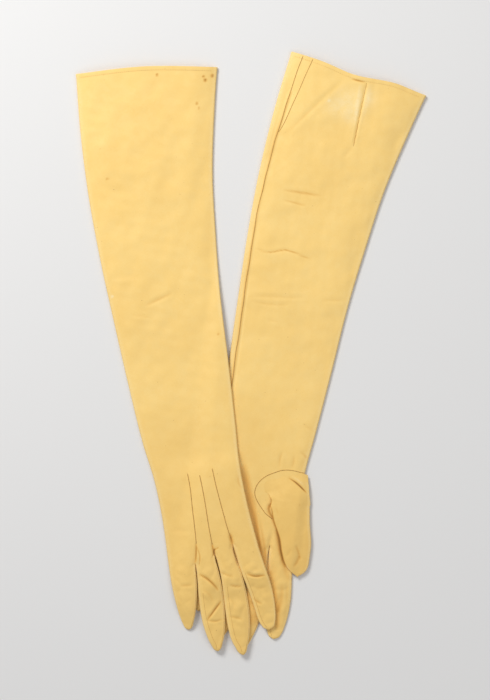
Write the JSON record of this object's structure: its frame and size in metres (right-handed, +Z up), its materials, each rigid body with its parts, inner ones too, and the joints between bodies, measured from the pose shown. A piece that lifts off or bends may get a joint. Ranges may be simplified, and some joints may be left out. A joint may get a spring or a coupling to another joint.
{
  "type": "opera gloves",
  "caption": "Pair of long kid-leather opera gloves laid flat, one palm up and the other back up across its fingers, with set-in thumbs, fourchettes and sewn points",
  "frame": {"origin": "middle of the pair's footprint, on the surface that it lies on", "axes": "+Y from the fingertips toward the mouths of the arms, +Z up, +X to the right with the fingers toward the viewer"},
  "size_m": [0.3506, 0.604, 0.0115],
  "materials": {
    "kid_leather": "matte pale-yellow kid leather, fine grain",
    "kid_leather_shaded": "the same kid leather, a little deeper in tone at fingers, thumb and hem",
    "seam_thread": "fine sewing thread and pressed seam edges, tone on tone"
  },
  "bodies": {
    "left_hand": {"left_hand_back": "kid_leather", "left_point_1": "seam_thread", "left_point_2": "seam_thread", "left_point_3": "seam_thread", "left_hand_palm": "kid_leather", "left_thumb_seam": "seam_thread", "left_thumb_root": "kid_leather_shaded", "left_hand_side_seam": "seam_thread", "left_little_back": "kid_leather_shaded", "left_little_palm": "kid_leather_shaded", "left_little_fourchette_thumb_side": "kid_leather_shaded", "left_ring_back": "kid_leather_shaded", "left_ring_palm": "kid_leather_shaded", "left_ring_fourchette_little_side": "kid_leather_shaded", "left_ring_fourchette_thumb_side": "kid_leather_shaded", "left_middle_back": "kid_leather_shaded", "left_middle_palm": "kid_leather_shaded", "left_middle_fourchette_little_side": "kid_leather_shaded", "left_middle_fourchette_thumb_side": "kid_leather_shaded", "left_index_back": "kid_leather_shaded", "left_index_palm": "kid_leather_shaded", "left_index_fourchette_little_side": "kid_leather_shaded"},
    "left_arm": {"left_arm_back": "kid_leather", "left_arm_palm": "kid_leather", "left_arm_side_seam": "seam_thread", "left_arm_gusset": "kid_leather", "left_mouth_hem": "kid_leather_shaded"},
    "left_thumb": {"left_thumb_back": "kid_leather_shaded", "left_thumb_front": "kid_leather_shaded"},
    "right_hand": {"right_hand_back": "kid_leather", "right_point_1": "seam_thread", "right_point_2": "seam_thread", "right_point_3": "seam_thread", "right_hand_palm": "kid_leather", "right_thumb_seam": "seam_thread", "right_thumb_root": "kid_leather_shaded", "right_hand_side_seam": "seam_thread", "right_thumb_back": "kid_leather_shaded", "right_thumb_front": "kid_leather_shaded"},
    "right_arm": {"right_arm_back": "kid_leather", "right_arm_palm": "kid_leather", "right_arm_side_seam": "seam_thread", "right_arm_gusset": "kid_leather", "right_mouth_hem": "kid_leather_shaded"},
    "right_little": {"right_little_back": "kid_leather_shaded", "right_little_palm": "kid_leather_shaded", "right_little_fourchette_thumb_side": "kid_leather_shaded"},
    "right_ring": {"right_ring_back": "kid_leather_shaded", "right_ring_palm": "kid_leather_shaded", "right_ring_fourchette_little_side": "kid_leather_shaded", "right_ring_fourchette_thumb_side": "kid_leather_shaded"},
    "right_middle": {"right_middle_back": "kid_leather_shaded", "right_middle_palm": "kid_leather_shaded", "right_middle_fourchette_little_side": "kid_leather_shaded", "right_middle_fourchette_thumb_side": "kid_leather_shaded"},
    "right_index": {"right_index_back": "kid_leather_shaded", "right_index_palm": "kid_leather_shaded", "right_index_fourchette_little_side": "kid_leather_shaded"}
  },
  "joints": [
    {"name": "left_arm_fold", "type": "hinge", "parent": "left_hand", "child": "left_arm", "pos_m": [0.05185, 0.09844, 0.00553], "axis": [0.9542, -0.2992, 0], "range_deg": [0, 80]},
    {"name": "left_thumb_swing", "type": "hinge", "parent": "left_hand", "child": "left_thumb", "pos_m": [0.04198, -0.13084, 0.00415], "axis": [-0.9877, 0.1564, 0], "range_deg": [0, 75]},
    {"name": "right_glove_lift", "type": "slide", "parent": "left_hand", "child": "right_hand", "axis": [0, 0, 1], "range_m": [0, 0.1]},
    {"name": "right_arm_fold", "type": "hinge", "parent": "right_hand", "child": "right_arm", "pos_m": [-0.09719, 0.1332, 0.00614], "axis": [0.9976, 0.0694, 0], "range_deg": [0, 80]},
    {"name": "right_index_bend", "type": "hinge", "parent": "right_hand", "child": "right_index", "pos_m": [-0.00423, -0.19667, 0.0109], "axis": [-0.9781, -0.2079, 0], "range_deg": [0, 65]},
    {"name": "right_middle_bend", "type": "hinge", "parent": "right_hand", "child": "right_middle", "pos_m": [-0.02599, -0.20129, 0.0109], "axis": [-0.9781, -0.2079, 0], "range_deg": [0, 65]},
    {"name": "right_ring_bend", "type": "hinge", "parent": "right_hand", "child": "right_ring", "pos_m": [-0.04595, -0.20553, 0.0109], "axis": [-0.9781, -0.2079, 0], "range_deg": [0, 65]},
    {"name": "right_little_bend", "type": "hinge", "parent": "right_hand", "child": "right_little", "pos_m": [-0.06942, -0.21052, 0.00961], "axis": [-0.9781, -0.2079, 0], "range_deg": [0, 65]}
  ]
}
